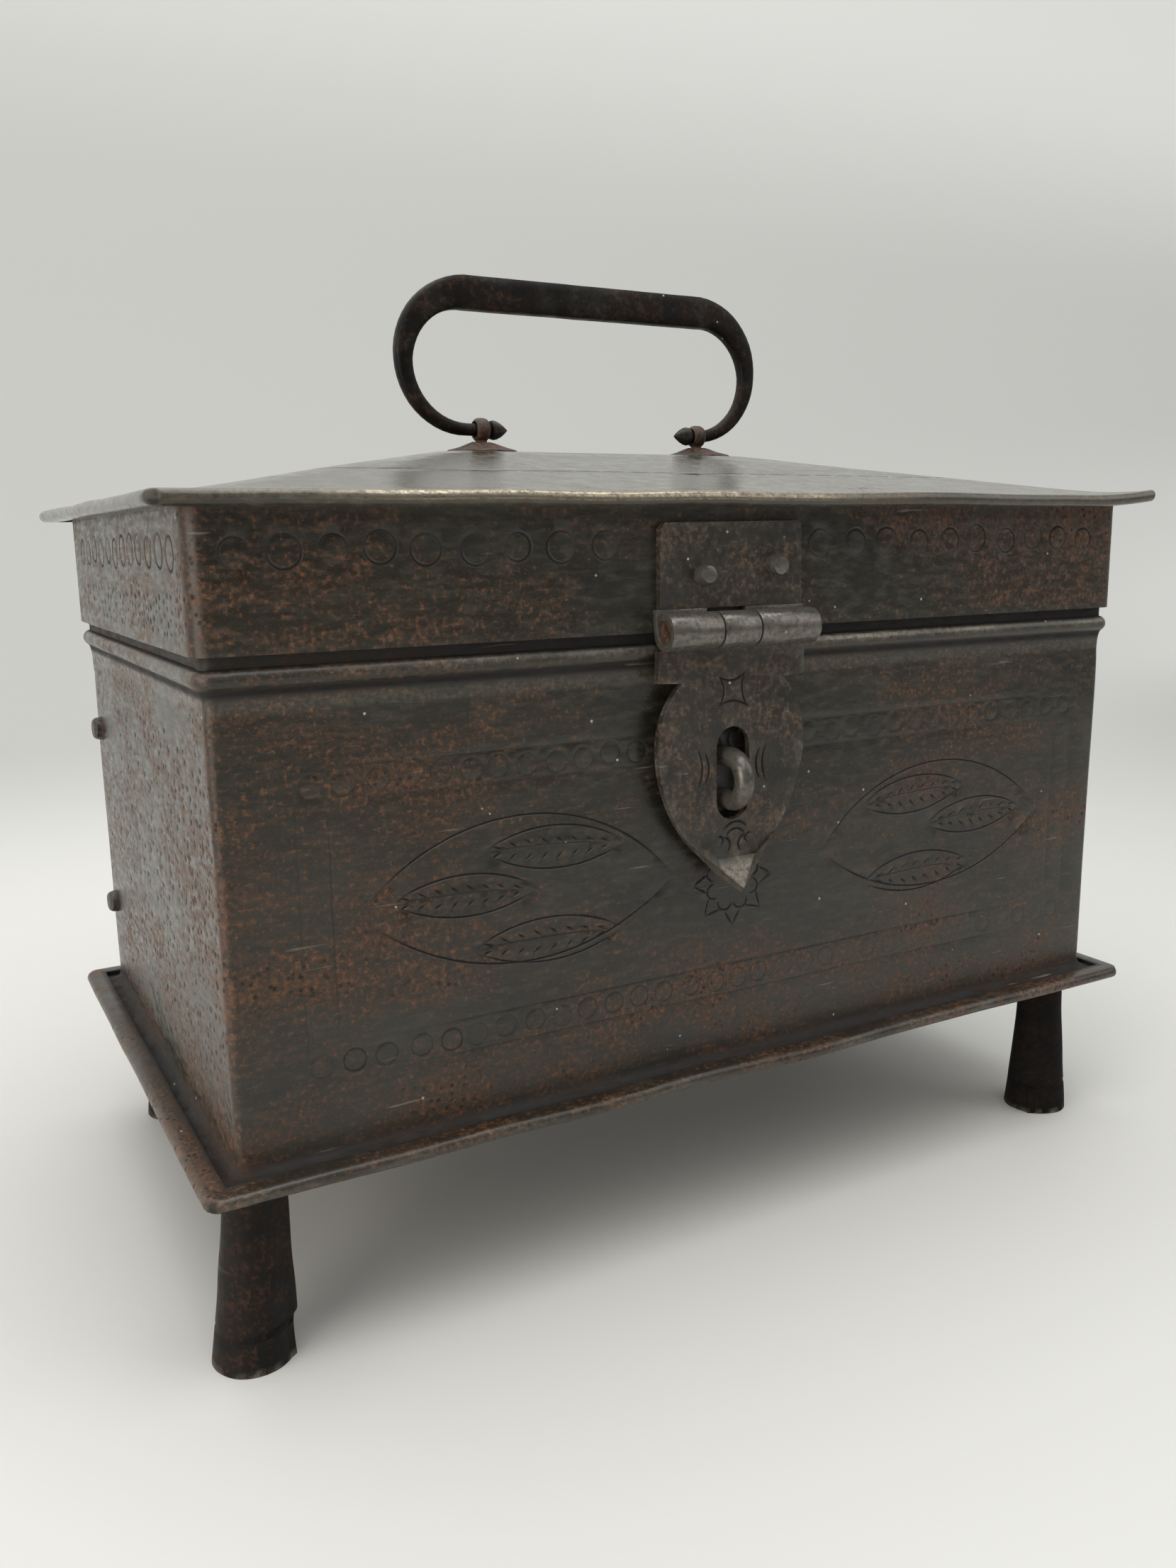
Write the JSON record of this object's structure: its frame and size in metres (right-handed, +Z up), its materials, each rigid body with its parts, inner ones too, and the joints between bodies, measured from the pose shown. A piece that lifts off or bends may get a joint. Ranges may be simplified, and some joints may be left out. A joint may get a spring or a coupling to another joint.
{
  "type": "casket",
  "caption": "Small sheet-iron casket on conical feet with a hipped hinged lid, a bail handle on top and a front hasp over a staple.",
  "frame": {"origin": "on the floor under the middle of the overall box", "axes": "+X along the front to the viewer's right, +Y from the front to the back, +Z up"},
  "size_m": [0.254, 0.1552, 0.2239],
  "materials": {
    "dark_sheet_iron": "waxed dark patina with rust freckles",
    "worn_plate_iron": "waxed dark patina, rubbed edges",
    "bright_worn_iron": "rubbed bright by use",
    "forged_handle_iron": "satin black-brown patina"
  },
  "bodies": {
    "body": {"wall_band": "dark_sheet_iron", "base_plate": "dark_sheet_iron", "foot_front_left": "dark_sheet_iron", "foot_front_right": "dark_sheet_iron", "foot_back_left": "dark_sheet_iron", "foot_back_right": "dark_sheet_iron", "wall_seam_rivets": "bright_worn_iron", "hasp_staple": "bright_worn_iron", "hinge_left_body_leaf": "worn_plate_iron", "hinge_right_body_leaf": "worn_plate_iron", "hinge_left_pin": "bright_worn_iron", "hinge_right_pin": "bright_worn_iron", "hinge_body_rivets": "bright_worn_iron"},
    "lid": {"lid_top": "dark_sheet_iron", "lid_skirt": "dark_sheet_iron", "hasp_plate": "worn_plate_iron", "hasp_pin": "bright_worn_iron", "hasp_plate_rivets": "bright_worn_iron", "hinge_left_lid_leaf": "worn_plate_iron", "hinge_right_lid_leaf": "worn_plate_iron", "hinge_lid_rivets": "bright_worn_iron", "handle_rosette_left": "forged_handle_iron", "handle_rosette_right": "forged_handle_iron", "handle_eye_left": "forged_handle_iron", "handle_eye_right": "forged_handle_iron"},
    "hasp": {"hasp_leaf": "worn_plate_iron"},
    "handle": {"handle_bail": "forged_handle_iron"}
  },
  "joints": [
    {"name": "lid_open", "type": "hinge", "parent": "body", "child": "lid", "pos_m": [0, 0.0736, 0.14147], "axis": [-1, 0, 0], "range_deg": [0, 165]},
    {"name": "hasp_swing", "type": "hinge", "parent": "lid", "child": "hasp", "pos_m": [-0.0054, -0.0732, 0.14147], "axis": [-1, 0, 0], "range_deg": [0, 165]},
    {"name": "handle_swing", "type": "hinge", "parent": "lid", "child": "handle", "pos_m": [0.0006, 0.0002, 0.18777], "axis": [1, 0, 0], "range_deg": [-100, 100]}
  ]
}
